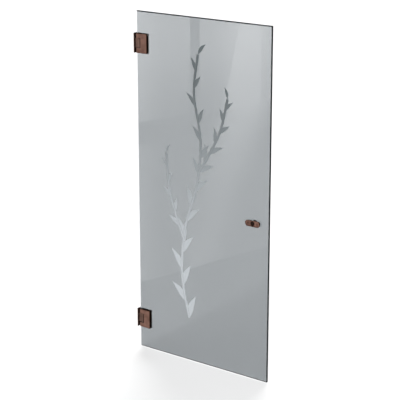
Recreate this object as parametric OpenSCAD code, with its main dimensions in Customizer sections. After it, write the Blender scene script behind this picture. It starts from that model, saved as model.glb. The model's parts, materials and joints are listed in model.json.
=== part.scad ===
// Frameless hinged glass door: one toughened leaf, two bevelled glass-to-wall
// clamp hinges and a pull, oval in front and round behind, bolted through the glass.
// Origin: centre of the wall face of the lower hinge's wall plate.
// +X runs along the closed leaf away from the wall, -Y faces the viewer, +Z is up.

/* [Glass leaf] */
// Width of the glass
glass_w = 900; // [700:1:1000]
// Height of the glass
glass_h = 2000; // [1700:1:2200]
// Thickness of the glass
glass_t = 12; // [8:1:12]
// Ground and polished bevel on every edge of the glass
arris = 1; // [0.5:0.1:2]

/* [Hinge clamps] */
// Height of the hinge's clamp plates
hinge_h = 112; // [104:1:130]
// Width of the hinge's clamp plates, along the leaf
clamp_w = 76; // [64:1:84]
// Thickness of each clamp plate
clamp_t = 8; // [6:0.5:10]
// Bevel round the outer face of each clamp plate
clamp_bevel = 2.5; // [1:0.1:3.5]
// Thickness of the gasket between plate and glass
gasket_t = 1; // [0.5:0.1:2]
// How far the gasket stays inside the outline of the plate
gasket_inset = 1; // [0.5:0.1:3]
// Height of a hinge's centre above the bottom edge, and below the top edge
hinge_inset = 180; // [120:1:260]
// How far the plates lap the glass above and below the cut-out behind them
cutout_lap = 10; // [8:0.5:13]
// Radius of the inner corners of that cut-out
cutout_r = 6; // [3:0.5:9]
// Distance from the glass's hinge edge to the far pair of clamp screws
far_screw_x = 53; // [50:0.5:58]
// Distance from the plates' top and bottom edges to the far pair of clamp screws
far_screw_edge = 34; // [20:1:40]
// Height of the arms of a clamp plate, above and below its notch
arm_h = 28; // [26:0.5:30]

/* [Hinge knuckle and pin] */
// Distance from the glass's hinge edge to the pin's axis
edge_to_axis = 16; // [14:0.5:20]
// Radius of the knuckle's barrel
barrel_r = 12.5; // [12:0.5:13.5]
// Bevel on the barrel's two ends
barrel_bevel = 2; // [0.5:0.1:3]
// Thickness of the neck that carries the barrel
neck_t = 20; // [16:0.5:22]
// Diameter of the pivot pin
pin_d = 10; // [8:0.5:11]
// Wall of the nylon bushes that the pin turns in
bush_wall = 2; // [1.5:0.1:2.5]
// Depth of each bush in the knuckle
bush_l = 12; // [8:1:18]
// Thickness of each bush's flange
flange_t = 1; // [0.6:0.1:1.5]
// Width of each bush's flange beyond its sleeve
flange_w = 4; // [2:0.1:4.5]

/* [Wall plates] */
// Thickness of a wall plate
plate_t = 5; // [4:0.5:8]
// Depth of a wall plate, across the glass
plate_d = 36; // [34:1:60]
// Bevel along the room-side edges of a wall plate
plate_bevel = 1; // [0.5:0.1:2]
// Diameter of the wall plate's screw holes
wall_hole_d = 5.5; // [4.5:0.1:6.5]
// Spacing of the wall screws across the plate
wall_hole_y = 20; // [19:0.5:22]
// Distance from the plate's top and bottom edges to the wall screws
wall_hole_edge = 14; // [10:1:16]

/* [Screws] */
// Diameter of the clamp screws and knuckle screws
screw_d = 6; // [5:0.5:6]
// Diameter of a countersunk head
head_d = 12; // [10:0.5:13]
// Size across the corners of a hexagon socket
socket_d = 4.6; // [3:0.1:5]
// Distance from the knuckle's two ends to the screws that hold it to its wall plate
knuckle_screw_edge = 10; // [8:0.5:14]
// Length of those screws
knuckle_screw_l = 15; // [12:0.5:16]

/* [Pull] */
// Length of the front pull along the leaf
pull_l = 96; // [84:1:120]
// Height of the front pull
pull_h = 36; // [36:1:48]
// How far the front pull stands off its pad
pull_t = 13; // [10:0.5:24]
// Diameter of the round pull on the back
back_d = 30; // [28:1:40]
// How far the back pull stands off its pad
back_t = 10; // [8:0.5:16]
// How much each pull narrows from its face to the glass, each side
pull_taper = 3; // [2:0.5:5]
// Radius of the outer rims
pull_round = 2; // [1:0.5:3]
// Width of the raised rim round a dished face
rim_w = 3; // [2:0.25:3.25]
// Depth of the dish
dish_t = 2.5; // [1:0.1:3.5]
// Diameter of the hollow in each end of the front pull
hollow_d = 14; // [8:1:18]
// Depth of those hollows
hollow_t = 2; // [1:0.25:3]
// Thickness of the pad between pull and glass
pad_t = 1; // [0.5:0.1:2]
// Distance from the glass's free edge to the centre of the pulls
pull_from_edge = 101; // [60:1:140]
// Height of that centre above the bottom edge
pull_up = 915; // [800:1:1100]
// Diameter of the through bolt
bolt_d = 8; // [6:0.5:10]
// Diameter of the domed cap on the front end of the bolt
cap_d = 27; // [16:0.5:27]
// Height of that cap
cap_t = 7; // [3:0.5:8]
// Diameter of the cap on the back end
back_cap_d = 16; // [12:0.5:18]
// Height of that cap
back_cap_t = 3.5; // [2:0.5:5]
// Wall of the nylon sleeve round the bolt in the glass
sleeve_wall = 1.8; // [1:0.1:3]

/* [Hidden] */

$fn = 64;
eps = 0.01;

// Clearances
swing_clear = 5;      // turning clamp corner to wall plate
turn_clear = 0.05;    // pin in its bushes and grooves
side_clear = 0.15;    // bush flange to the turning plates
barrel_clear = 3;     // barrel to the turning plates
glass_clear = 2;      // metal to the glass inside the cut-out
screw_clear = 0.05;   // screw in its hole
split_gap = 0.3;      // between the two halves of a pin seat

// Glass and clamp, across the leaf
glass_half = glass_t / 2;
clamp_in = glass_half + gasket_t;
clamp_out = clamp_in + clamp_t;

// Places along the leaf, from the wall face
corner_reach = max(norm([edge_to_axis, clamp_out - clamp_bevel]),
                   norm([edge_to_axis - clamp_bevel, clamp_out]));
axis_x = plate_t + swing_clear + corner_reach;
edge_x = axis_x - edge_to_axis;
notch_w = edge_to_axis + barrel_r + barrel_clear;
cutout_w = notch_w + glass_clear;

// Places up the hinge, from its centre
notch_half = hinge_h / 2 - arm_h;
knuckle_h = 2 * (notch_half - flange_t - side_clear);
knuckle_screw_z = knuckle_h - 2 * knuckle_screw_edge;
wall_hole_z = hinge_h - 2 * wall_hole_edge;
cutout_h = hinge_h - 2 * cutout_lap;
far_screw_z = hinge_h / 2 - far_screw_edge;
seat_top = cutout_h / 2 - glass_clear;
near_screw_x = edge_to_axis + pin_d / 2 + screw_d / 2 + 2;
near_screw_z = (notch_half + seat_top) / 2;
upper_z = glass_h - 2 * hinge_inset;
pin_r = pin_d / 2;
bush_r = pin_r + turn_clear + bush_wall;
pin_l = 2 * (seat_top - 1.5);
screw_r = screw_d / 2;
head_r = head_d / 2;
head_t = head_r - screw_r;
thread_end = clamp_out - 2.5;
glass_hole_r = screw_r + 4;

// Pull
pull_x = edge_x + glass_w - pull_from_edge;
pull_z = pull_up - hinge_inset;
pull_half = pull_l / 2 - pull_h / 2;
pull_in = glass_half + pad_t;
dish_slope = 0.4;     // run of the dish's wall for each unit of its depth
front_seat = pull_in + pull_t - dish_t;
back_seat = pull_in + back_t - dish_t;
sleeve_r = bolt_d / 2 + screw_clear + sleeve_wall;

// Draws its children at the lower or the upper hinge
module at_hinge(upper) {
    translate([0, 0, upper ? upper_z : 0]) children();
}

// Turns a shape drawn on the back of the leaf to the front
module on_side(front) {
    if (front) mirror([0, 1, 0]) children();
    else children();
}

// Flat 2D shape in X and Z, standing upright from y0 to y1
module upright(y0, y1) {
    translate([0, y1, 0]) rotate([90, 0, 0]) linear_extrude(height = y1 - y0) children();
}

// Round hole or rod along Y
module along_y(r, y0, y1) {
    translate([0, y0, 0]) rotate([-90, 0, 0]) cylinder(h = y1 - y0, r = r);
}

// Countersunk screw or hole along Y with its flat head at y = 0, running towards -Y
module countersunk(r, head, length) {
    rotate([90, 0, 0]) {
        cylinder(h = length, r = r);
        cylinder(h = head - r, r1 = head, r2 = r);
    }
}

// Three-sided bar along X, Y or Z for cutting a bevel off the corner at the origin
module bevel_bar(length, size) {
    translate([0, 0, -length / 2]) linear_extrude(height = length)
        polygon([[-size, eps], [eps, eps], [eps, -size]]);
}

// The glass leaf with its polished edges
module glass_blank() {
    difference() {
        translate([edge_x, -glass_half, -hinge_inset]) cube([glass_w, glass_t, glass_h]);
        for (side = [-1, 1]) {
            // the two upright edges
            for (end = [0, 1])
                translate([edge_x + end * glass_w, side * glass_half, glass_h / 2 - hinge_inset])
                    mirror([end ? 0 : 1, 0, 0]) mirror([0, side < 0 ? 1 : 0, 0])
                        bevel_bar(glass_h + 2, arris);
            // the top and bottom edges
            for (end = [0, 1])
                translate([edge_x + glass_w / 2, side * glass_half, end * glass_h - hinge_inset])
                    mirror([0, side < 0 ? 1 : 0, 0]) mirror([0, 0, end ? 0 : 1])
                        rotate([0, -90, 0]) bevel_bar(glass_w + 2, arris);
        }
    }
}

// Outline of the cut-out in the glass behind one hinge
module cutout_outline() {
    near = edge_x - glass_clear;
    far = edge_x + cutout_w;
    for (s = [-1, 1])
        translate([far - cutout_r, s * (cutout_h / 2 - cutout_r)]) circle(r = cutout_r);
    translate([near, -cutout_h / 2]) square([far - cutout_r - near, cutout_h]);
    translate([near, -cutout_h / 2 + cutout_r]) square([far - near, cutout_h - 2 * cutout_r]);
}

module glass_panel() {
    color([0.62, 0.66, 0.67, 0.6]) difference() {
        glass_blank();
        for (upper = [false, true]) at_hinge(upper) {
            upright(-glass_t, glass_t) cutout_outline();
            for (s = [-1, 1])
                translate([edge_x + far_screw_x, 0, s * far_screw_z])
                    along_y(glass_hole_r, -glass_t, glass_t);
        }
        translate([pull_x, 0, pull_z]) along_y(sleeve_r + screw_clear, -glass_t, glass_t);
    }
}

// Wall side of a hinge

module wall_plate() {
    color([0.40, 0.29, 0.24]) difference() {
        translate([0, -plate_d / 2, -hinge_h / 2]) cube([plate_t, plate_d, hinge_h]);
        for (s = [-1, 1]) {
            translate([plate_t, s * plate_d / 2, 0])
                mirror([0, s < 0 ? 1 : 0, 0]) bevel_bar(hinge_h + 2, plate_bevel);
            translate([plate_t, 0, s * hinge_h / 2])
                mirror([0, 0, s < 0 ? 1 : 0]) rotate([-90, 0, 0]) mirror([0, 1, 0])
                    bevel_bar(plate_d + 2, plate_bevel);
        }
        // four holes for the wall screws, countersunk on the room side
        for (y = [-1, 1], z = [-1, 1])
            translate([plate_t, y * wall_hole_y / 2, z * wall_hole_z / 2]) rotate([0, 0, -90])
                countersunk(wall_hole_d / 2, wall_hole_d, plate_t + eps);
        // two holes for the knuckle's screws, countersunk on the wall side
        for (s = [-1, 1])
            translate([0, 0, s * knuckle_screw_z / 2]) rotate([0, 0, 90])
                countersunk(screw_r + screw_clear, head_r + screw_clear, plate_t + eps);
    }
}

module barrel() {
    h = knuckle_h / 2;
    r = barrel_r;
    b = barrel_bevel;
    translate([axis_x, 0, 0]) rotate_extrude()
        polygon([[0, -h], [r - b, -h], [r, -h + b], [r, h - b], [r - b, h], [0, h]]);
}

module knuckle() {
    color([0.44, 0.33, 0.28]) difference() {
        union() {
            barrel();
            translate([plate_t, -neck_t / 2, -knuckle_h / 2])
                cube([axis_x - plate_t, neck_t, knuckle_h]);
        }
        translate([axis_x, 0, -knuckle_h]) cylinder(h = 2 * knuckle_h, r = pin_r + 0.5);
        for (s = [-1, 1])
            translate([axis_x, 0, s * (knuckle_h / 2 - bush_l / 2 + eps / 2)])
                cylinder(h = bush_l + eps, r = bush_r + screw_clear, center = true);
        for (s = [-1, 1])
            translate([0, 0, s * knuckle_screw_z / 2]) rotate([0, 0, 90])
                countersunk(screw_r + screw_clear, screw_r + screw_clear + eps,
                            knuckle_screw_l + 1);
    }
}

module knuckle_screws() {
    color([0.20, 0.18, 0.17]) for (s = [-1, 1])
        translate([0, 0, s * knuckle_screw_z / 2]) rotate([0, 0, 90]) difference() {
            countersunk(screw_r, head_r, knuckle_screw_l);
            translate([0, eps, 0]) rotate([90, 0, 0]) cylinder(h = 2.5, r = socket_d / 2, $fn = 6);
        }
}

// Flanged bushes, one in each end of the knuckle
module bushes() {
    color([0.12, 0.12, 0.12]) for (s = [0, 1])
        translate([axis_x, 0, 0]) mirror([0, 0, s]) difference() {
            union() {
                translate([0, 0, knuckle_h / 2 - bush_l]) cylinder(h = bush_l, r = bush_r);
                translate([0, 0, knuckle_h / 2]) cylinder(h = flange_t, r = bush_r + flange_w);
            }
            translate([0, 0, knuckle_h / 2 - bush_l - 1])
                cylinder(h = bush_l + flange_t + 2, r = pin_r + turn_clear);
        }
}

// Leaf side of a hinge

module pivot_pin() {
    b = 1;
    h = pin_l / 2;
    color([0.70, 0.69, 0.67]) translate([axis_x, 0, 0]) rotate_extrude()
        polygon([[0, -h], [pin_r - b, -h], [pin_r, -h + b], [pin_r, h - b], [pin_r - b, h], [0, h]]);
}

// Outline of a clamp plate, with the notch that the knuckle stands in
module clamp_outline(inset = 0) {
    difference() {
        translate([edge_x + inset, -hinge_h / 2 + inset])
            square([clamp_w - 2 * inset, hinge_h - 2 * inset]);
        translate([edge_x - 1, -notch_half]) square([notch_w + 1, 2 * notch_half]);
    }
}

module clamp_plate() {
    difference() {
        union() {
            upright(clamp_in, clamp_out) clamp_outline();
            // half of each pin seat, standing in the cut-out of the glass
            for (s = [0, 1]) mirror([0, 0, s])
                translate([edge_x, split_gap / 2, notch_half])
                    cube([notch_w, clamp_in - split_gap / 2 + eps, seat_top - notch_half]);
        }
        // bevels round the outer face
        for (end = [0, 1])
            translate([edge_x + end * clamp_w, clamp_out, 0]) mirror([end ? 0 : 1, 0, 0])
                bevel_bar(hinge_h + 2, clamp_bevel);
        for (s = [0, 1]) mirror([0, 0, s])
            translate([edge_x + clamp_w / 2, clamp_out, hinge_h / 2])
                rotate([0, -90, 0]) bevel_bar(clamp_w + 2, clamp_bevel);
        // groove for the pin
        translate([axis_x, 0, 0])
            cylinder(h = pin_l + 1, r = pin_r + turn_clear, center = true);
    }
}

// Places of the clamp screws on the leaf
clamp_screw_places = [
    for (s = [-1, 1]) [near_screw_x, s * near_screw_z],
    for (s = [-1, 1]) [far_screw_x, s * far_screw_z]
];

// The front plate takes the screws in blind holes, so its face is plain
module front_clamp() {
    color([0.49, 0.37, 0.33]) on_side(true) difference() {
        clamp_plate();
        for (p = clamp_screw_places)
            translate([edge_x + p[0], 0, p[1]]) along_y(screw_r + screw_clear, -1, thread_end + 0.5);
    }
}

module back_clamp() {
    color([0.49, 0.37, 0.33]) difference() {
        clamp_plate();
        for (p = clamp_screw_places)
            translate([edge_x + p[0], clamp_out, p[1]])
                countersunk(screw_r + screw_clear, head_r + screw_clear, clamp_out + 1);
    }
}

module clamp_screws() {
    color([0.20, 0.18, 0.17]) for (p = clamp_screw_places)
        translate([edge_x + p[0], clamp_out, p[1]]) difference() {
            countersunk(screw_r, head_r, clamp_out + thread_end);
            translate([0, eps, 0]) rotate([90, 0, 0]) cylinder(h = 2.5, r = socket_d / 2, $fn = 6);
        }
}

module gasket(front) {
    color([0.08, 0.08, 0.08]) on_side(front) difference() {
        upright(glass_half, clamp_in) difference() {
            clamp_outline(gasket_inset);
            cutout_outline();
        }
        for (s = [-1, 1])
            translate([edge_x + far_screw_x, 0, s * far_screw_z])
                along_y(screw_r + 1, 0, clamp_out);
    }
}

// The two pulls and their through bolt

// Puts its children at the pulls' centre, on the front or the back
module at_pull(front) {
    translate([pull_x, 0, pull_z]) on_side(front) children();
}

// Turns a profile, drawn as radius and stand-off, about the bolt's axis
module round_sweep() {
    rotate([-90, 0, 0]) rotate_extrude() children();
}

// Sweeps such a profile round the front pull's oval path
module oval_sweep() {
    for (s = [0, 1]) mirror([s, 0, 0]) translate([pull_half, 0, 0])
        rotate([-90, 0, 0]) rotate([0, 0, -90]) rotate_extrude(angle = 180) children();
    for (s = [0, 1]) mirror([0, 0, s])
        rotate([0, -90, 0]) linear_extrude(height = 2 * pull_half, center = true) children();
}

// Profile of a pull of radius r that stands t off its pad
module pull_profile(r, t) {
    top = pull_in + t;
    polygon(concat(
        [[0, pull_in], [r - pull_taper, pull_in], [r, top - pull_round]],
        [for (a = [15:15:90]) [r - pull_round * (1 - cos(a)), top - pull_round * (1 - sin(a))]],
        [[r - rim_w, top], [r - rim_w - dish_slope * dish_t, top - dish_t], [0, top - dish_t]]
    ));
}

// Hole for the bolt
module bolt_bore() {
    along_y(bolt_d / 2 + screw_clear, 0, pull_in + max(pull_t, back_t));
}

module front_pull() {
    hollow_r = hollow_d / 2;
    ball_r = (hollow_r * hollow_r + hollow_t * hollow_t) / (2 * hollow_t);
    color([0.49, 0.37, 0.33]) at_pull(true) difference() {
        oval_sweep() pull_profile(pull_h / 2, pull_t);
        bolt_bore();
        for (s = [-1, 1])
            translate([s * pull_half, front_seat + ball_r - hollow_t, 0]) sphere(r = ball_r);
    }
}

module back_pull() {
    color([0.49, 0.37, 0.33]) at_pull(false) difference() {
        round_sweep() pull_profile(back_d / 2, back_t);
        bolt_bore();
    }
}

// Section of a pad under a pull of radius r
module pad_profile(r) {
    translate([0, glass_half]) square([r - pull_taper - 0.5, pad_t]);
}

module front_pull_pad() {
    color([0.08, 0.08, 0.08]) at_pull(true) difference() {
        oval_sweep() pad_profile(pull_h / 2);
        bolt_bore();
    }
}

module back_pull_pad() {
    color([0.08, 0.08, 0.08]) at_pull(false) difference() {
        round_sweep() pad_profile(back_d / 2);
        bolt_bore();
    }
}

// Domed cap of radius r and height h on the end of the bolt
module bolt_cap(r, h, seat) {
    dome_r = (r * r + h * h) / (2 * h);
    a_end = asin(r / dome_r);
    color([0.16, 0.13, 0.12]) translate([0, seat, 0]) round_sweep()
        polygon(concat([[0, 0]],
            [for (i = [0:8]) let (a = a_end * (1 - i / 8))
                [dome_r * sin(a), dome_r * cos(a) - (dome_r - h)]]));
}

module front_bolt_cap() {
    at_pull(true) bolt_cap(cap_d / 2, cap_t, front_seat);
}

module back_bolt_cap() {
    at_pull(false) bolt_cap(back_cap_d / 2, back_cap_t, back_seat);
}

module through_bolt() {
    color([0.70, 0.69, 0.67]) translate([pull_x, 0, pull_z])
        along_y(bolt_d / 2, -front_seat, back_seat);
}

module bolt_sleeve() {
    color([0.85, 0.85, 0.83]) translate([pull_x, 0, pull_z]) difference() {
        along_y(sleeve_r, -glass_half, glass_half);
        along_y(bolt_d / 2 + screw_clear, -glass_t, glass_t);
    }
}

glass_panel();
wall_plate();  // lower_wall_plate
knuckle();  // lower_knuckle
knuckle_screws();  // lower_knuckle_screws
bushes();  // lower_bushes
pivot_pin();  // lower_pivot_pin
front_clamp();  // lower_front_clamp
back_clamp();  // lower_back_clamp
gasket(true);  // lower_front_gasket
gasket(false);  // lower_back_gasket
clamp_screws();  // lower_clamp_screws
at_hinge(true) wall_plate();  // upper_wall_plate
at_hinge(true) knuckle();  // upper_knuckle
at_hinge(true) knuckle_screws();  // upper_knuckle_screws
at_hinge(true) bushes();  // upper_bushes
at_hinge(true) pivot_pin();  // upper_pivot_pin
at_hinge(true) front_clamp();  // upper_front_clamp
at_hinge(true) back_clamp();  // upper_back_clamp
at_hinge(true) gasket(true);  // upper_front_gasket
at_hinge(true) gasket(false);  // upper_back_gasket
at_hinge(true) clamp_screws();  // upper_clamp_screws
front_pull();
back_pull();
front_pull_pad();
back_pull_pad();
front_bolt_cap();
back_bolt_cap();
through_bolt();
bolt_sleeve();
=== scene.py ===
import json
import math

import bmesh
import bpy
from mathutils import Matrix, Vector


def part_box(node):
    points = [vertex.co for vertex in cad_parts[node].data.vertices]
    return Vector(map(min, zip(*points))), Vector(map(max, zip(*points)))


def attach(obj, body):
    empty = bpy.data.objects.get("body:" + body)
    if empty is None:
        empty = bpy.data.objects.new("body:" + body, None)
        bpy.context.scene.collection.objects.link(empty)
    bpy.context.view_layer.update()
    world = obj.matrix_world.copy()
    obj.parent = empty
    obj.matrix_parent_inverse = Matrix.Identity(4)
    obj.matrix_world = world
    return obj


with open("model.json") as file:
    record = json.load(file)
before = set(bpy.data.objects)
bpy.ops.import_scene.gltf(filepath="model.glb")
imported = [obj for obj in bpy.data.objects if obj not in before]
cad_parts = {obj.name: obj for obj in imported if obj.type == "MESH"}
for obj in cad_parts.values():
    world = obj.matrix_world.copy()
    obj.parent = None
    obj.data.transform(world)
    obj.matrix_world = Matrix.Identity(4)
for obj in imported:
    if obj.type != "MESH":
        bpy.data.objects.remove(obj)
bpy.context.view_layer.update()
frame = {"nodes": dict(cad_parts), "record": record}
nodes = frame["nodes"]
scene = bpy.context.scene
print("frame loaded:", len(nodes), "solids")

# places that the solids give
glassLow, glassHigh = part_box("glass_panel")
wallPlates = [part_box("lower_wall_plate"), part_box("upper_wall_plate")]
glassWidth = glassHigh.x - glassLow.x
glassHeight = glassHigh.z - glassLow.z
glassFront = glassLow.y


class Value:
    # wraps a socket, so that a sum written on it adds its Math nodes
    def __init__(self, sheet, socket):
        self.sheet, self.socket = sheet, socket

    def maths(self, operation, *parts):
        return self.sheet.add("ShaderNodeMath", {"operation": operation}, dict(enumerate(parts)))

    def __add__(self, other):
        return self.maths("ADD", self, other)

    def __sub__(self, other):
        return self.maths("SUBTRACT", self, other)

    def __rsub__(self, other):
        return self.maths("SUBTRACT", other, self)

    def __mul__(self, other):
        return self.maths("MULTIPLY", self, other)

    def __gt__(self, other):
        return self.maths("GREATER_THAN", self, other)

    def __lt__(self, other):
        return self.maths("LESS_THAN", self, other)

    def __abs__(self):
        return self.maths("ABSOLUTE", self)

    def either(self, other):
        return self.maths("MAXIMUM", self, other)

    __radd__ = __add__
    __rmul__ = __mul__


class Sheet:
    # one node tree: add() makes a node, sets it, fills its sockets and gives back one output;
    # a socket that takes several links is given a list of values
    def __init__(self, tree):
        self.tree = tree

    def add(self, kind, settings=None, sockets=None, out=0):
        node = self.tree.nodes.new(kind)
        for name, setting in (settings or {}).items():
            setattr(node, name, setting)
        for name, wanted in (sockets or {}).items():
            for part in wanted if isinstance(wanted, list) else [wanted]:
                if isinstance(part, Value):
                    self.tree.links.new(part.socket, node.inputs[name])
                else:
                    node.inputs[name].default_value = part
        return Value(self, node.outputs[out]) if len(node.outputs) else node

    def mix(self, factor, first, second):
        first, second = [part if isinstance(part, Value) else (*part, 1.0) for part in (first, second)]
        return self.add("ShaderNodeMix", {"data_type": "RGBA"}, {0: factor, 6: first, 7: second}, out=2)

    def smooth(self, value, low, high, lowGives=0.0, highGives=1.0):
        return self.add("ShaderNodeMapRange", {"interpolation_type": "SMOOTHSTEP"}, {
            "Value": value, "From Min": low, "From Max": high, "To Min": lowGives, "To Max": highGives})

    def noise(self, place, scale, detail, stretch=(1, 1, 1)):
        stretched = self.add("ShaderNodeMapping", {}, {"Vector": place, "Scale": stretch})
        return self.add("ShaderNodeTexNoise", {}, {"Vector": stretched, "Scale": scale, "Detail": detail})

    def apart(self, vector):
        parts = self.add("ShaderNodeSeparateXYZ", {}, {0: vector}).socket.node
        return [Value(self, parts.outputs[i]) for i in range(3)]

    def rays(self, kind):
        return self.add("ShaderNodeLightPath", out=kind)


def newMaterial(name):
    material = bpy.data.materials.new(name)
    material.use_nodes = True
    material.node_tree.nodes.clear()
    return material, Sheet(material.node_tree)


def bump(sheet, height, look):
    return sheet.add("ShaderNodeBump", {}, {
        "Height": height, "Strength": look["relief"], "Distance": look["reliefDepth"]})


def ownNormal(sheet):
    # the piece's own normal, so that what it sets stays in place as the door swings
    return sheet.apart(sheet.add("ShaderNodeTexCoord", out="Normal"))


# smoked glass: two clear faces, a ground edge with painted shade on it, and the tint in its depth
glassLook = {
    "absorbed": (0.957, 0.906, 0.873),    # share of the density that each colour loses
    "density": 99.0,                      # per metre
    "index": 1.52,
    "passed": (0.96, 0.96, 0.96),         # what one face lets through of the light that passes
    # near-black colours of the edge, a painted shade
    "edge": (0.022, 0.024, 0.026), "edgeGrey": (0.042, 0.046, 0.048), "edgeGlint": (0.05, 0.05, 0.05),
    "edgeRoughness": 0.42, "roughSpread": 0.2, "relief": 0.3, "reliefDepth": 0.0001,
    "grindScale": 1400.0, "grindStretch": (1.0, 1.0, 0.04),
    "faceFrom": 0.9, "hingeSide": -0.3,   # limits of the normal: large faces, edge in the hinges
    "sideRim": 0.0030, "topRim": 0.0048, "hingeRim": 0.0015,
}


def smokedGlass():
    material, sheet = newMaterial("smokedGlass")
    place = sheet.add("ShaderNodeTexCoord", out="Object")
    across, outward, _ = ownNormal(sheet)
    x, _, z = sheet.apart(place)
    # painted shade, nearly black: the edges and their bevels, but neither the two large faces nor the edge
    # in the hinges, and a narrow rim of the faces along the free edge and the top
    sides = (abs(outward) < glassLook["faceFrom"]) * (across > glassLook["hingeSide"])
    paintedDarkEdge = sides.either(x > glassHigh.x - glassLook["sideRim"]).either(
        z > glassHigh.z - glassLook["topRim"])
    face = sheet.add("ShaderNodeBsdfPrincipled", {}, {
        "Base Color": (1.0, 1.0, 1.0, 1.0),
        "Roughness": 0.0,
        "Transmission Weight": 1.0,
        "IOR": glassLook["index"]})
    grinding = sheet.noise(place, glassLook["grindScale"], 2.0, glassLook["grindStretch"])
    edge = sheet.add("ShaderNodeBsdfPrincipled", {}, {
        "Base Color": sheet.mix(grinding, glassLook["edge"], glassLook["edgeGrey"]),
        "Roughness": grinding * glassLook["roughSpread"] + glassLook["edgeRoughness"],
        "Metallic": 1.0,
        "Specular Tint": (*glassLook["edgeGlint"], 1.0),
        "Normal": bump(sheet, grinding, glassLook)})
    solid = sheet.add("ShaderNodeMixShader", {}, {0: paintedDarkEdge, 1: face, 2: edge})
    clear = sheet.add("ShaderNodeBsdfTransparent", {}, {"Color": (*glassLook["passed"], 1.0)})
    # Shadows pass through, and so does all light at the edge in the hinges. Light that the
    # floor scatters passes untinted, so that the floor stays even at the door's foot.
    scattered = sheet.rays("Is Diffuse Ray")
    passing = scattered.either(sheet.rays("Is Shadow Ray")).either(x < glassLow.x + glassLook["hingeRim"])
    surface = sheet.add("ShaderNodeMixShader", {}, {0: passing, 1: solid, 2: clear})
    tint = sheet.add("ShaderNodeVolumeAbsorption", {}, {
        "Color": (*[1.0 - part for part in glassLook["absorbed"]], 1.0),
        "Density": glassLook["density"]})
    inside = sheet.add("ShaderNodeMixShader", {}, {0: scattered, 1: tint})    # else nothing
    sheet.add("ShaderNodeOutputMaterial", {}, {"Surface": surface, "Volume": inside})
    return material


# bronze: brushed along grainAlong, with faint cloudy patina and fine pits. The sides and the upper bevels
# are painted dark as painted shade, and so is the pull behind a given depth, as painted shade in its
# hollows.
bronzeLook = {
    "brushScale": 1700.0, "brushStretch": 0.03, "cloudScale": 34.0, "pitScale": 900.0,
    "patinaFrom": 0.42, "patinaTo": 0.86, "patinaBrush": 0.25,
    "pitsFrom": 0.66, "pitShare": 0.4,
    "sideFrom": 0.45, "sideTo": 0.68,    # parts of the normal across the door, or upwards
    "paintedShadeShare": 0.94, "recessShadeShare": 0.6, "recessShadeSoft": 0.0010,
    "glint": (0.30, 0.24, 0.21), "roughSpread": 0.10,
    "brushRelief": 0.6, "pitRelief": 0.4, "relief": 0.35, "reliefDepth": 0.0002,
}


def bronze(name, tones, roughness, grainAlong, recessShadeFrom=None):
    material, sheet = newMaterial(name)
    face, shade, dark = tones
    place = sheet.add("ShaderNodeTexCoord", out="Object")
    across, _, upward = ownNormal(sheet)
    stretch = tuple(bronzeLook["brushStretch"] if axis == grainAlong else 1.0 for axis in "XYZ")
    brushed = sheet.noise(place, bronzeLook["brushScale"], 2.0, stretch)
    cloudy = sheet.noise(place, bronzeLook["cloudScale"], 4.0)
    pits = sheet.noise(place, bronzeLook["pitScale"], 1.0)
    patina = sheet.smooth(cloudy + brushed * bronzeLook["patinaBrush"],
                          bronzeLook["patinaFrom"], bronzeLook["patinaTo"])
    # painted shade on the faces turned across the door or upwards
    paintedShade = (sheet.smooth(abs(across), bronzeLook["sideFrom"], bronzeLook["sideTo"])
             + sheet.smooth(upward, bronzeLook["sideFrom"], bronzeLook["sideTo"]))
    if recessShadeFrom is not None:
        # painted shade in the pull's hollows, behind the given depth
        depth = sheet.apart(place)[1]
        recessShade = sheet.smooth(depth, recessShadeFrom, recessShadeFrom + bronzeLook["recessShadeSoft"])
        paintedShade = paintedShade + recessShade * bronzeLook["recessShadeShare"]
    colour = sheet.mix(patina, face, shade)
    colour = sheet.mix((pits > bronzeLook["pitsFrom"]) * bronzeLook["pitShare"], colour, dark)
    spread = bronzeLook["roughSpread"]
    height = brushed * bronzeLook["brushRelief"] + pits * bronzeLook["pitRelief"]
    body = sheet.add("ShaderNodeBsdfPrincipled", {}, {
        "Base Color": sheet.mix(paintedShade * bronzeLook["paintedShadeShare"], colour, dark),
        "Metallic": 1.0,
        "Specular Tint": (*bronzeLook["glint"], 1.0),
        "Roughness": patina * spread + brushed * spread + (roughness - spread / 2),
        "Normal": bump(sheet, height, bronzeLook)})
    sheet.add("ShaderNodeOutputMaterial", {}, {"Surface": body})
    return material


# ground steel, with fine marks drawn out along X
steelLook = {
    "stretch": (200, 2500, 2500), "shade": 0.8,
    "roughSpread": 0.15, "relief": 0.2, "reliefDepth": 0.0001,
}


def steel(name, colour, roughness):
    material, sheet = newMaterial(name)
    place = sheet.add("ShaderNodeTexCoord", out="Object")
    ground = sheet.noise(place, 1.0, 2.0, steelLook["stretch"])
    body = sheet.add("ShaderNodeBsdfPrincipled", {}, {
        "Base Color": sheet.mix(ground, [part * steelLook["shade"] for part in colour], colour),
        "Metallic": 1.0,
        "Roughness": ground * steelLook["roughSpread"] + roughness,
        "Normal": bump(sheet, ground, steelLook)})
    sheet.add("ShaderNodeOutputMaterial", {}, {"Surface": body})
    return material


# rubber or nylon: matt, with a fine moulded grit
softLook = {"shade": 0.7, "roughSpread": 0.2, "relief": 0.4, "reliefDepth": 0.0002}


def soft(name, colour, roughness, grit):
    material, sheet = newMaterial(name)
    place = sheet.add("ShaderNodeTexCoord", out="Object")
    speck = sheet.noise(place, grit, 3.0)
    body = sheet.add("ShaderNodeBsdfPrincipled", {}, {
        "Base Color": sheet.mix(speck, [part * softLook["shade"] for part in colour], colour),
        "Roughness": speck * softLook["roughSpread"] + roughness,
        "Normal": bump(sheet, speck, softLook)})
    sheet.add("ShaderNodeOutputMaterial", {}, {"Surface": body})
    return material


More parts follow.
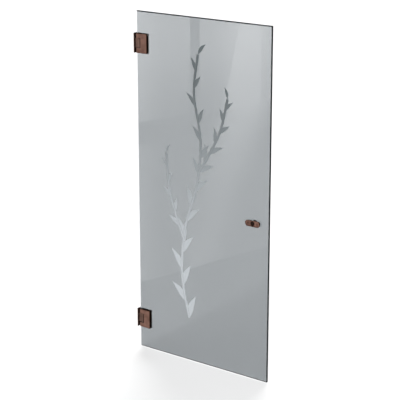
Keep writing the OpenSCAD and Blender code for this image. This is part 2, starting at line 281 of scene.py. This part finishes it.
# fired print: slate at the top, fading to pale grey lower down
inkLook = {
    "top": (0.070, 0.088, 0.094),
    "bottom": (0.500, 0.532, 0.560),
    "fadeFrom": 0.24, "fadeTo": 0.88,    # shares of the glass's height
    "speck": (0.25, 0.27, 0.28), "speckShare": 0.22, "speckScale": 420.0,
    "roughness": 0.32, "roughSpread": 0.2, "relief": 0.25, "reliefDepth": 0.0002,
}


def ceramicInk():
    material, sheet = newMaterial("ceramicInk")
    place = sheet.add("ShaderNodeTexCoord", out="Object")
    fade = sheet.smooth(sheet.apart(place)[2], glassLow.z + glassHeight * inkLook["fadeFrom"],
                        glassLow.z + glassHeight * inkLook["fadeTo"])
    grain = sheet.noise(place, inkLook["speckScale"], 3.0)
    colour = sheet.mix(fade, inkLook["bottom"], inkLook["top"])
    body = sheet.add("ShaderNodeBsdfPrincipled", {}, {
        "Base Color": sheet.mix(grain * inkLook["speckShare"], colour, inkLook["speck"]),
        "Roughness": grain * inkLook["roughSpread"] + inkLook["roughness"],
        "Normal": bump(sheet, grain, inkLook)})
    sheet.add("ShaderNodeOutputMaterial", {}, {"Surface": body})
    return material


# colours of the bronze: rubbed face, patina, and a dark tone for the pits and for the painted shade
plateTones = (0.211, 0.118, 0.092), (0.138, 0.077, 0.060), (0.016, 0.009, 0.006)
# the knuckles' tones are the plates' bronze made darker, a painted shade
shadedBarrelTones = (0.182, 0.110, 0.088), (0.126, 0.076, 0.061), (0.016, 0.009, 0.006)
capTones = (0.034, 0.021, 0.017), (0.018, 0.011, 0.009), (0.016, 0.009, 0.006)
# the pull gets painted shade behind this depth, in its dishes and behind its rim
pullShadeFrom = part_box("front_pull")[0].y + 0.0026    # just behind the pull's rim
finishes = {
    "smoked_glass": smokedGlass(),
    "antique_bronze": bronze("antiqueBronze", plateTones, 0.34, "Z"),
    "dark_bronze": bronze("darkBronze", capTones, 0.24, "X"),
    "bright_steel": steel("brightSteel", (0.60, 0.59, 0.57), 0.22),
    "dark_steel": steel("darkSteel", (0.075, 0.068, 0.062), 0.30),
    "black_rubber": soft("blackRubber", (0.022, 0.022, 0.023), 0.62, 1400.0),
    "nylon": soft("nylon", (0.10, 0.10, 0.10), 0.45, 900.0),
}
shadedBarrelBronze = bronze("shadedBarrelBronze", shadedBarrelTones, 0.38, "Z")
ownFinish = {
    "lower_knuckle": shadedBarrelBronze, "upper_knuckle": shadedBarrelBronze,
    "front_pull": bronze("pullBronze", plateTones, 0.34, "X", pullShadeFrom),
}
slotOf = {part["node"]: part["material_slot"] for part in frame["record"]["subparts"]}
for name, solid in nodes.items():
    solid.data.materials.clear()
    solid.data.materials.append(ownFinish.get(name, finishes[slotOf[name]]))
print("finishes made:", len(finishes))


def newTree(name, inputs):
    # a Geometry Nodes tree with named inputs, and the values that they give
    tree = bpy.data.node_groups.new(name, "GeometryNodeTree")
    tree.interface.new_socket("Geometry", in_out="INPUT", socket_type="NodeSocketGeometry")
    for label, kind in inputs:
        tree.interface.new_socket(label, in_out="INPUT", socket_type="NodeSocket" + kind)
    tree.interface.new_socket("Geometry", in_out="OUTPUT", socket_type="NodeSocketGeometry")
    sheet = Sheet(tree)
    start = sheet.add("NodeGroupInput").socket.node
    given = {socket.name: Value(sheet, socket) for socket in start.outputs if socket.name}
    return tree, sheet, given


def finishTree(sheet, geometry, material):
    # real, dressed geometry at the tree's end
    solid = sheet.add("GeometryNodeRealizeInstances", {}, {"Geometry": geometry})
    dressed = sheet.add("GeometryNodeSetMaterial", {}, {"Geometry": solid, "Material": material})
    sheet.add("NodeGroupOutput", {}, {"Geometry": dressed})


def grow(name, tree, mesh, values, body):
    # runs a tree on a mesh and keeps the result as a plain mesh that rides on body
    carrier = bpy.data.objects.new(name + "Carrier", mesh)
    scene.collection.objects.link(carrier)
    modifier = carrier.modifiers.new("grow", "NODES")
    modifier.node_group = tree
    places = {item.name: item.identifier for item in tree.interface.items_tree if item.in_out == "INPUT"}
    for label, value in values.items():
        modifier[places[label]] = value
    bpy.context.view_layer.update()
    evaluated = carrier.evaluated_get(bpy.context.evaluated_depsgraph_get())
    plain = bpy.data.meshes.new_from_object(evaluated)
    carrier.modifiers.clear()
    bpy.data.objects.remove(carrier)
    grown = bpy.data.objects.new(name, plain)
    plain.name = name
    scene.collection.objects.link(grown)
    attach(grown, body)
    print(name, "grown:", len(plain.polygons), "faces")


def meshFrom(name, points, faces=(), edges=()):
    mesh = bpy.data.meshes.new(name)
    mesh.from_pydata(points, list(edges), list(faces))
    mesh.update()
    return mesh


# screws in the wall plates
screwLook = {
    "headRadius": 0.0054, "shankRadius": 0.0026, "length": 0.0049, "sides": 24,
    "headBreak": 0.0002,                  # bevel round the head
    "socketRadius": 0.0022, "socketDepth": 0.0018, "socketCorners": 6, "socketLip": 0.0003,
    "sunk": 0.0001, "turn": 1.1,          # below the plate's face, and radians from one to the next
    "slot": "dark_steel",
}
screwSpacing = next(mount["dims"] for mount in frame["record"]["mounts"] if mount["kind"] == "bolt_pattern")


def screwMesh(look):
    # a countersunk screw along -X with its head at x = 0 and a six-sided socket in it
    sides, head, shank, socket = look["sides"], look["headRadius"], look["shankRadius"], look["socketRadius"]
    build = bmesh.new()

    def ring(radius, x, corners=None):
        made = []
        for i in range(sides):
            angle = 2 * math.pi * i / sides
            r = radius
            if corners:    # a regular polygon's radius at this angle
                part = math.pi / corners
                r = radius * math.cos(part) / math.cos((angle % (2 * part)) - part)
            made.append(build.verts.new((x, r * math.cos(angle), r * math.sin(angle))))
        return made

    loops = [ring(shank, -look["length"]), ring(shank, shank - head),
             ring(head, -look["headBreak"]), ring(head - look["headBreak"], 0.0),
             ring(socket + look["socketLip"], 0.0),
             ring(socket, 0.0, look["socketCorners"]),
             ring(socket, -look["socketDepth"], look["socketCorners"])]
    for first, second in zip(loops, loops[1:]):
        for i in range(sides):
            j = (i + 1) % sides
            build.faces.new((first[i], first[j], second[j], second[i]))
    build.faces.new(loops[0][::-1])
    build.faces.new(loops[-1])
    bmesh.ops.recalc_face_normals(build, faces=build.faces)
    mesh = bpy.data.meshes.new("wallScrew")
    build.to_mesh(mesh)
    build.free()
    return mesh


def wallScrewTree():
    # a screw on each point, each turned a little further than the last
    tree, sheet, given = newTree("wallScrews", [("Screw", "Object"), ("Turn", "Float")])
    screw = sheet.add("GeometryNodeObjectInfo", {}, {"Object": given["Screw"]}, out="Geometry")
    index = sheet.add("GeometryNodeInputIndex")
    turned = sheet.add("ShaderNodeCombineXYZ", {}, {"X": index * given["Turn"]})
    placed = sheet.add("GeometryNodeInstanceOnPoints", {}, {
        "Points": given["Geometry"], "Instance": screw, "Rotation": turned})
    finishTree(sheet, placed, finishes[screwLook["slot"]])
    return tree


screwObject = bpy.data.objects.new("screwPattern", screwMesh(screwLook))
scene.collection.objects.link(screwObject)
halfAcross, halfUp = screwSpacing["spacing_x_mm"] / 2000, screwSpacing["spacing_y_mm"] / 2000
screwPlaces = [(high.x - screwLook["sunk"], y, (low.z + high.z) / 2 + z)
               for low, high in wallPlates for y in (-halfAcross, halfAcross) for z in (-halfUp, halfUp)]
grow("wallScrews", wallScrewTree(), meshFrom("screwPlaces", screwPlaces),
     {"Screw": screwObject, "Turn": screwLook["turn"]}, "wall_side")
bpy.data.objects.remove(screwObject)


# printed spray of leaves on the glass
sprayLook = {
    "thickness": 0.0008, "lift": 0.00006,    # half of the thickness stands in the glass
    "stalkWidth": 0.016, "stalkTip": 0.75,   # share of the width that is gone at the tip
    "pointsBetween": 12, "stalkPoints": 90,
    "leafSteps": 14, "leafBend": 0.07, "leafHalfWidth": 0.13,    # shares of a leaf's length
    "leafDepth": 0.6,                        # share of the thickness
    "lean": 0.55, "leafShrink": 0.45,        # radians from the stalk; share gone at the tip
    # each stalk: points as shares of the glass's width and height, then leaves and leaf length
    "stalks": [
        ([(0.40, 0.13), (0.345, 0.26), (0.37, 0.40), (0.46, 0.53),
          (0.49, 0.66), (0.44, 0.79), (0.47, 0.90)], 17, 0.150),
        ([(0.365, 0.36), (0.30, 0.43), (0.245, 0.51), (0.225, 0.61)], 7, 0.105),
        ([(0.475, 0.57), (0.56, 0.63), (0.64, 0.70), (0.69, 0.79)], 8, 0.120),
    ],
}


def leafMesh(look):
    # a flat, closed leaf one metre long on the XZ plane, with its stalk end at the origin
    shares = [i / look["leafSteps"] for i in range(1, look["leafSteps"])]

    def edge(share, sign):
        bend = look["leafBend"] * math.sin(math.pi * share)
        return share, bend + sign * look["leafHalfWidth"] * math.sin(math.pi * share ** 0.8) ** 1.15

    rim = [(0.0, 0.0), *[edge(share, 1) for share in shares],
           (1.0, 0.0), *[edge(share, -1) for share in reversed(shares)]]
    build = bmesh.new()
    sides = [[build.verts.new((along, depth, across)) for along, across in rim] for depth in (0.5, -0.5)]
    for side in sides:
        build.faces.new(side)
    for i in range(len(rim)):
        j = (i + 1) % len(rim)
        build.faces.new((sides[0][i], sides[0][j], sides[1][j], sides[1][i]))
    bmesh.ops.recalc_face_normals(build, faces=build.faces)
    mesh = bpy.data.meshes.new("leaf")
    build.to_mesh(mesh)
    build.free()
    return mesh


def sprayTree(look):
    # leaves stand on both sides of a stalk in turn and shrink towards its tip
    tree, sheet, given = newTree("leafSpray", [
        ("Leaf", "Object"), ("Leaves", "Int"), ("Length", "Float"),
        ("Thickness", "Float"), ("Width", "Float")])
    path = sheet.add("GeometryNodeMeshToCurve", {}, {"Mesh": given["Geometry"]})
    along = sheet.add("GeometryNodeSplineParameter", out="Factor")
    spots = sheet.add("GeometryNodeResampleCurve", {}, {"Curve": path, "Count": given["Leaves"]})
    index = sheet.add("GeometryNodeInputIndex")
    side = index.maths("MODULO", index, 2.0) * 2.0 - 1.0
    dx, dz = sheet.apart(sheet.add("GeometryNodeInputTangent"))[::2]
    heading = dz.maths("ARCTAN2", dz, dx)
    lean = side * look["lean"] + heading
    turn = sheet.add("ShaderNodeCombineXYZ", {}, {"X": side * (math.pi / 2) + math.pi / 2, "Y": 0.0 - lean})
    size = (1.0 - along * look["leafShrink"]) * given["Length"]
    scale = sheet.add("ShaderNodeCombineXYZ", {}, {
        "X": size, "Y": given["Thickness"] * look["leafDepth"], "Z": size})
    leaf = sheet.add("GeometryNodeObjectInfo", {}, {"Object": given["Leaf"]}, out="Geometry")
    leaves = sheet.add("GeometryNodeInstanceOnPoints", {}, {
        "Points": spots, "Instance": leaf, "Rotation": turn, "Scale": scale})
    smoothPath = sheet.add("GeometryNodeResampleCurve", {}, {"Curve": path, "Count": look["stalkPoints"]})
    thinned = sheet.add("GeometryNodeSetCurveRadius", {}, {
        "Curve": smoothPath, "Radius": 1.0 - along * look["stalkTip"]})
    profile = sheet.add("GeometryNodeCurvePrimitiveQuadrilateral", {}, {
        "Width": given["Thickness"], "Height": given["Width"]})
    stalk = sheet.add("GeometryNodeCurveToMesh", {}, {
        "Curve": thinned, "Profile Curve": profile, "Fill Caps": True})
    joined = sheet.add("GeometryNodeJoinGeometry", {}, {"Geometry": [leaves, stalk]})
    finishTree(sheet, joined, ceramicInk())
    return tree


def smoothLine(points, steps):
    # a smooth line through the points, a Catmull-Rom curve
    ends = [points[0] * 2 - points[1]] + points + [points[-1] * 2 - points[-2]]
    line = []
    for a, b, c, d in zip(ends, ends[1:], ends[2:], ends[3:]):
        for i in range(steps):
            t = i / steps
            line.append(0.5 * (2 * b + (c - a) * t + (2 * a - 5 * b + 4 * c - d) * t * t
                               + (3 * b - a - 3 * c + d) * t ** 3))
    return line + [points[-1]]


leafObject = bpy.data.objects.new("leafPattern", leafMesh(sprayLook))
scene.collection.objects.link(leafObject)
spray = sprayTree(sprayLook)
for number, (shares, leafCount, leafLength) in enumerate(sprayLook["stalks"]):
    depth = glassFront - sprayLook["lift"] * (number - 1)    # apart, so that no two faces meet
    corners = [Vector((glassLow.x + u * glassWidth, depth, glassLow.z + v * glassHeight)) for u, v in shares]
    line = smoothLine(corners, sprayLook["pointsBetween"])
    grow("printedStalk" + str(number + 1), spray,
         meshFrom("stalkLine", line, edges=[(i, i + 1) for i in range(len(line) - 1)]),
         {"Leaf": leafObject, "Leaves": leafCount, "Length": leafLength,
          "Thickness": sprayLook["thickness"], "Width": sprayLook["stalkWidth"]}, "leaf")
bpy.data.objects.remove(leafObject)


# studio: a white floor under an even sky, a lamp in front and a broad one behind
studioLook = {
    "floorDrop": 0.006, "floorSize": 60.0, "floorColour": (0.88, 0.88, 0.88),
    "horizon": 1.0, "zenith": 0.70, "skyFrom": 0.12, "skyTo": 0.65,
    "backdrop": 1.175,    # the lit floor's brightness
    "frontSun": {"from": (0.0, -1.0, 1.0), "strength": 0.68, "angle": 6.0},
    "backSun": {"from": (-0.6, 1.0, 1.35), "strength": 1.78, "angle": 36.0},
}


def addSun(name, look):
    light = bpy.data.lights.new(name, "SUN")
    light.energy = look["strength"]
    light.angle = math.radians(look["angle"])
    sun = bpy.data.objects.new(name, light)
    sun.rotation_euler = Vector(look["from"]).to_track_quat("Z", "Y").to_euler()
    scene.collection.objects.link(sun)


def addFloor(look):
    half = look["floorSize"] / 2
    level = glassLow.z - look["floorDrop"]
    corners = [(x * half, y * half, level) for x, y in ((-1, -1), (1, -1), (1, 1), (-1, 1))]
    mesh = meshFrom("floor", corners, [(0, 1, 2, 3)])
    material, sheet = newMaterial("floorPaper")
    sheet.add("ShaderNodeOutputMaterial", {}, {"Surface": sheet.add("ShaderNodeBsdfDiffuse", {}, {
        "Color": (*look["floorColour"], 1.0)})})
    mesh.materials.append(material)
    floor = bpy.data.objects.new("floor", mesh)
    scene.collection.objects.link(floor)


def setWorld(look):
    world = bpy.data.worlds.new("studio")
    scene.world = world
    world.use_nodes = True
    world.node_tree.nodes.clear()
    sheet = Sheet(world.node_tree)
    up = sheet.apart(sheet.add("ShaderNodeTexCoord", out="Generated"))[2]
    # low down, what is seen or mirrored is as bright as the floor, so that no skyline shows
    seen = sheet.rays("Is Camera Ray")
    for kind in ("Is Transmission Ray", "Is Glossy Ray"):
        seen = seen.either(sheet.rays(kind))
    low = seen * (look["backdrop"] - look["horizon"]) + look["horizon"]
    level = sheet.smooth(up, look["skyFrom"], look["skyTo"], low, look["zenith"])
    light = sheet.add("ShaderNodeBackground", {}, {"Color": (1, 1, 1, 1), "Strength": level})
    sheet.add("ShaderNodeOutputWorld", {}, {"Surface": light})


# A lit window that shows in the glass and nowhere else. Reach is the distance from the
# door's plane, height is from the floor, and all glows are above the wall's own brightness.
windowLook = {
    "start": (-0.88, 0.0), "along": (0.24, -1.0), "length": 2.15, "height": 2.2,
    "wall": 1.50,
    "uprightFrom": 1.281, "uprightTo": 1.361,
    "nearRailFrom": 0.956, "nearRailTo": 1.105, "farRail": 1.075, "blur": 0.005,
    # slow changes, by height or by reach: from and to, then the glow at each
    "nearUpperByHeight": (1.06, 1.72, 0.35, 1.95), "nearUpperByReach": (0.845, 1.085, 0.9, 0.0),
    "nearLowerByReach": (0.845, 1.045, 0.65, 0.0),
    "farUpperByHeight": (1.03, 1.67, 0.2, 1.9), "farUpperByReach": (1.435, 1.705, 0.0, 1.2),
    "curtainAt": 1.293, "curtainLean": 0.25, "curtainGlow": 1.15,
    "frameAt": 1.905, "frameGlow": -1.0,
    # light that spills over the wall under the far pane, wider and stronger higher up
    "spillFrom": 1.302, "spillFromLean": 0.35, "spillTo": 1.602, "spillToLean": 0.45,
    "spillBase": 0.26, "spillSoft": 0.15, "spillGlow": 0.6, "spillGrowth": 2.65,
    "spillByHeight": (-0.15, 0.1),
}


def addWindow(look):
    base = glassLow.z - studioLook["floorDrop"]
    start = Vector((*look["start"], base))
    along = Vector((*look["along"], 0.0))
    ends = [start, start + along * look["length"]]
    up = Vector((0, 0, look["height"]))
    mesh = meshFrom("window", [ends[0], ends[1], ends[1] + up, ends[0] + up], [(0, 1, 2, 3)])
    material, sheet = newMaterial("litWindow")
    y, z = sheet.apart(sheet.add("ShaderNodeTexCoord", out="Object"))[1:]
    reach, height = 0.0 - y, z - base

    def past(value, edge):
        return sheet.smooth(value, edge - look["blur"], edge + look["blur"])

    nearUpper = (sheet.smooth(height, *look["nearUpperByHeight"])
                 + sheet.smooth(reach, *look["nearUpperByReach"]))
    nearLower = sheet.smooth(reach, *look["nearLowerByReach"])
    curtain = past(reach - height * look["curtainLean"], look["curtainAt"]) * look["curtainGlow"]
    sideBar = past(reach, look["frameAt"]) * look["frameGlow"]
    farUpper = (sheet.smooth(height, *look["farUpperByHeight"])
                + sheet.smooth(reach, *look["farUpperByReach"]) + curtain + sideBar)
    rise, soft = height - look["spillBase"], look["spillSoft"]
    spillFrom = sheet.smooth(reach - rise * look["spillFromLean"],
                             look["spillFrom"] - soft, look["spillFrom"] + soft)
    spillTo = sheet.smooth(reach - rise * look["spillToLean"],
                           look["spillTo"] - soft, look["spillTo"] + soft, 1.0, 0.0)
    spill = (spillFrom * spillTo * (rise * rise * look["spillGrowth"] + look["spillGlow"])
             * sheet.smooth(height, *look["spillByHeight"]))
    farAbove = past(height, look["farRail"])
    level = (nearUpper * past(height, look["nearRailTo"]) * (1.0 - past(reach, look["uprightFrom"]))
             + nearLower * (1.0 - past(height, look["nearRailFrom"]))
             + farUpper * farAbove * past(reach, look["uprightTo"])
             + spill * (1.0 - farAbove) + look["wall"])
    lit = sheet.add("ShaderNodeEmission", {}, {"Color": level, "Strength": 1.0})
    unseen = sheet.add("ShaderNodeBsdfTransparent")
    sheet.add("ShaderNodeOutputMaterial", {}, {"Surface": sheet.add("ShaderNodeMixShader", {}, {
        0: sheet.rays("Is Singular Ray"), 1: unseen, 2: lit})})
    mesh.materials.append(material)
    window = bpy.data.objects.new("window", mesh)
    scene.collection.objects.link(window)
    window.visible_camera = window.visible_diffuse = False
    window.visible_transmission = window.visible_shadow = False


addFloor(studioLook)
setWorld(studioLook)
addWindow(windowLook)
for sunName in ("frontSun", "backSun"):
    addSun(sunName, studioLook[sunName])
scene.view_settings.view_transform = "Standard"
print("studio set")


# camera: before the door, to its right and a little above
cameraLook = {
    "azimuth": 36.5, "elevation": 16.76, "distance": 7.4, "lens": 119.8,
    "aside": -0.010, "above": -0.015,    # of the middle of the glass
}


def addCamera(look):
    turn, tilt = math.radians(look["azimuth"]), math.radians(look["elevation"])
    back = Vector((math.sin(turn) * math.cos(tilt), -math.cos(turn) * math.cos(tilt), math.sin(tilt)))
    right = Vector((math.cos(turn), math.sin(turn), 0.0))
    up = back.cross(right)
    middle = Vector((glassLow.x + glassWidth / 2, glassFront, glassLow.z + glassHeight / 2))
    eye = middle + right * look["aside"] + up * look["above"] + back * look["distance"]
    data = bpy.data.cameras.new("camera")
    data.lens = look["lens"]
    data.clip_end = 200.0
    camera = bpy.data.objects.new("camera", data)
    camera.matrix_world = Matrix((
        (right.x, up.x, back.x, eye.x),
        (right.y, up.y, back.y, eye.y),
        (right.z, up.z, back.z, eye.z),
        (0, 0, 0, 1)))
    scene.collection.objects.link(camera)
    scene.camera = camera


addCamera(cameraLook)
print("camera set")
